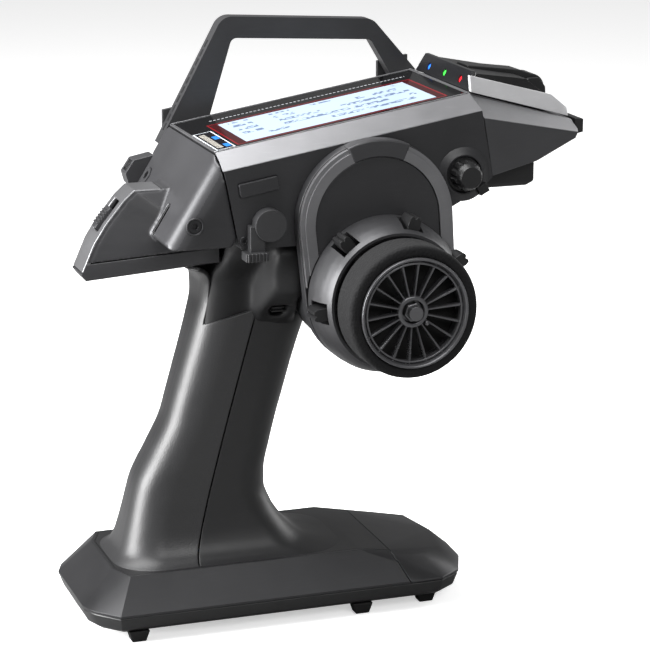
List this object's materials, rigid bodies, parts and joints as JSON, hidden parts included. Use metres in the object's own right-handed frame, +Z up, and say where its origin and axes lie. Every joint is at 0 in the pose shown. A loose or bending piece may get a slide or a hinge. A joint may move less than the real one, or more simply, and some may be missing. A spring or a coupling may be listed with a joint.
{
  "type": "pistol-grip radio transmitter",
  "caption": "Pistol-grip radio transmitter with a sloping display, side steering wheel, trigger, carrying handle and weighted standing base.",
  "frame": {"origin": "bottom centre of the whole controller's box, on the table plane under the feet", "axes": "+X towards the nose, away from the user; +Y towards the user's left, away from the wheel; +Z up"},
  "size_m": [0.2244, 0.1322, 0.2497],
  "materials": {
    "charcoal_shell": "fine moulded texture",
    "rear_paint": "satin metallic paint",
    "silver_paint": "satin silver metallic paint",
    "light_grey_paint": "satin light grey metallic paint",
    "black_plastic": "satin moulded",
    "gloss_black": "gloss",
    "display_glass": "black printed gloss panel",
    "lcd": "lit liquid crystal display",
    "led_lens": "clear coloured lenses",
    "handle_plastic": "satin moulded",
    "circuit_board": "soldered board",
    "steel": "turned",
    "sensor_plastic": "moulded",
    "rim_plastic": "satin dark grey",
    "wheel_foam": "closed-cell foam",
    "grip_plastic": "fine moulded texture",
    "grip_rubber": "soft-touch rubber",
    "metallic_band": "dark metallic paint",
    "foot_rubber": "moulded rubber",
    "battery": "sleeved cells",
    "dark_screw": "black oxide"
  },
  "bodies": {
    "housing": {"head_shell_right": "charcoal_shell", "head_shell_left": "charcoal_shell", "rear_cover": "rear_paint", "tail_cover": "charcoal_shell", "power_strip": "silver_paint", "encoder_housing": "charcoal_shell", "headphone_jack": "black_plastic", "card_socket": "black_plastic", "display_glass": "display_glass", "display_module": "lcd", "led_pod": "gloss_black", "status_leds": "led_lens", "nose_shell": "charcoal_shell", "nose_side_panels": "light_grey_paint", "nose_top_cover": "black_plastic", "antenna_pin": "steel", "nose_bumper": "black_plastic", "sensor_box": "black_plastic", "strap_eyelet": "black_plastic", "carry_handle": "handle_plastic", "main_board": "circuit_board", "radio_board": "circuit_board", "steering_housing": "charcoal_shell", "arch_bezel": "silver_paint", "trim_collar": "silver_paint", "shaft_bearings": "steel", "steering_sensor": "sensor_plastic", "steering_spring": "steel", "trigger_pin": "steel", "trigger_bracket": "black_plastic", "trigger_spring": "steel", "trigger_sensor": "sensor_plastic", "grip_front": "grip_plastic", "rubber_grip": "grip_rubber", "base_cover": "grip_plastic", "base_band": "metallic_band", "base_pan": "black_plastic", "feet": "foot_rubber", "battery_cells": "battery", "speaker": "black_plastic", "case_screws": "dark_screw"},
    "power_switch": {"power_switch": "silver_paint"},
    "edit_encoder": {"edit_encoder": "black_plastic"},
    "antenna": {"antenna_arm": "black_plastic"},
    "trim_rocker_1": {"trim_rocker_1": "black_plastic"},
    "trim_rocker_2": {"trim_rocker_2": "black_plastic"},
    "trim_rocker_3": {"trim_rocker_3": "black_plastic"},
    "trim_rocker_4": {"trim_rocker_4": "black_plastic"},
    "steering_wheel": {"steering_shaft": "steel", "wheel_rim": "rim_plastic", "wheel_foam": "wheel_foam", "wheel_nut": "steel"},
    "trigger": {"trigger": "black_plastic"},
    "sw1_button": {"sw1_button": "charcoal_shell"},
    "sw2_button": {"sw2_button": "charcoal_shell"},
    "sw3_button": {"sw3_button": "charcoal_shell"},
    "lever": {"lever": "charcoal_shell"},
    "dial": {"dial_knob": "black_plastic"},
    "grip_slider": {"grip_slider": "black_plastic"},
    "battery_door": {"battery_door": "metallic_band"}
  },
  "joints": [
    {"name": "steering", "type": "hinge", "parent": "housing", "child": "steering_wheel", "pos_m": [0.0108, -0.0381, 0.1456], "axis": [0, 1, 0], "range_deg": [-35, 35], "stiffness_Nm_per_rad": 0.12},
    {"name": "throttle", "type": "hinge", "parent": "housing", "child": "trigger", "pos_m": [0.0268, 0.0219, 0.172], "axis": [0, 1, 0], "range_deg": [-12, 25], "stiffness_Nm_per_rad": 0.15},
    {"name": "antenna_fold", "type": "hinge", "parent": "housing", "child": "antenna", "pos_m": [0.0943, 0.0219, 0.219], "axis": [0, 1, 0], "range_deg": [0, 90]},
    {"name": "trim_1_rock", "type": "hinge", "parent": "housing", "child": "trim_rocker_1", "pos_m": [0.03075, -0.0371, 0.15533], "axis": [0, 1, 0], "range_deg": [-7, 7], "stiffness_Nm_per_rad": 0.02},
    {"name": "trim_2_rock", "type": "hinge", "parent": "housing", "child": "trim_rocker_2", "pos_m": [0.01655, -0.0371, 0.16704], "axis": [0, 1, 0], "range_deg": [-7, 7], "stiffness_Nm_per_rad": 0.02},
    {"name": "trim_3_rock", "type": "hinge", "parent": "housing", "child": "trim_rocker_3", "pos_m": [-0.00347, -0.0371, 0.16261], "axis": [0, 1, 0], "range_deg": [-7, 7], "stiffness_Nm_per_rad": 0.02},
    {"name": "trim_4_rock", "type": "hinge", "parent": "housing", "child": "trim_rocker_4", "pos_m": [-0.01124, -0.0371, 0.14289], "axis": [0, 1, 0], "range_deg": [-7, 7], "stiffness_Nm_per_rad": 0.02},
    {"name": "sw1_press", "type": "slide", "parent": "housing", "child": "sw1_button", "axis": [0, 1, 0], "range_m": [0, 0.0012], "stiffness_N_per_m": 600},
    {"name": "sw2_press", "type": "slide", "parent": "housing", "child": "sw2_button", "axis": [0, -1, 0], "range_m": [0, 0.0012], "stiffness_N_per_m": 600},
    {"name": "sw3_press", "type": "slide", "parent": "housing", "child": "sw3_button", "axis": [0, -1, 0], "range_m": [0, 0.0012], "stiffness_N_per_m": 600},
    {"name": "lever_turn", "type": "hinge", "parent": "housing", "child": "lever", "pos_m": [-0.0365, -0.0181, 0.1764], "axis": [0, 1, 0], "range_deg": [-25, 25]},
    {"name": "dial_turn", "type": "hinge", "parent": "housing", "child": "dial", "pos_m": [0.0488, -0.0181, 0.191], "axis": [0, 1, 0], "range_deg": [-150, 150]},
    {"name": "power_slide", "type": "slide", "parent": "housing", "child": "power_switch", "axis": [0.6361, 0, 0.7716], "range_m": [0, 0.004]},
    {"name": "encoder_turn", "type": "hinge", "parent": "housing", "child": "edit_encoder", "pos_m": [-0.06961, 0.0594, 0.18539], "axis": [0, 1, 0], "continuous": true},
    {"name": "grip_slide", "type": "slide", "parent": "housing", "child": "grip_slider", "axis": [0, 0, 1], "range_m": [-0.0015, 0.0015], "stiffness_N_per_m": 300},
    {"name": "door_slide", "type": "slide", "parent": "housing", "child": "battery_door", "axis": [1, 0, 0], "range_m": [0, 0.03]}
  ]
}
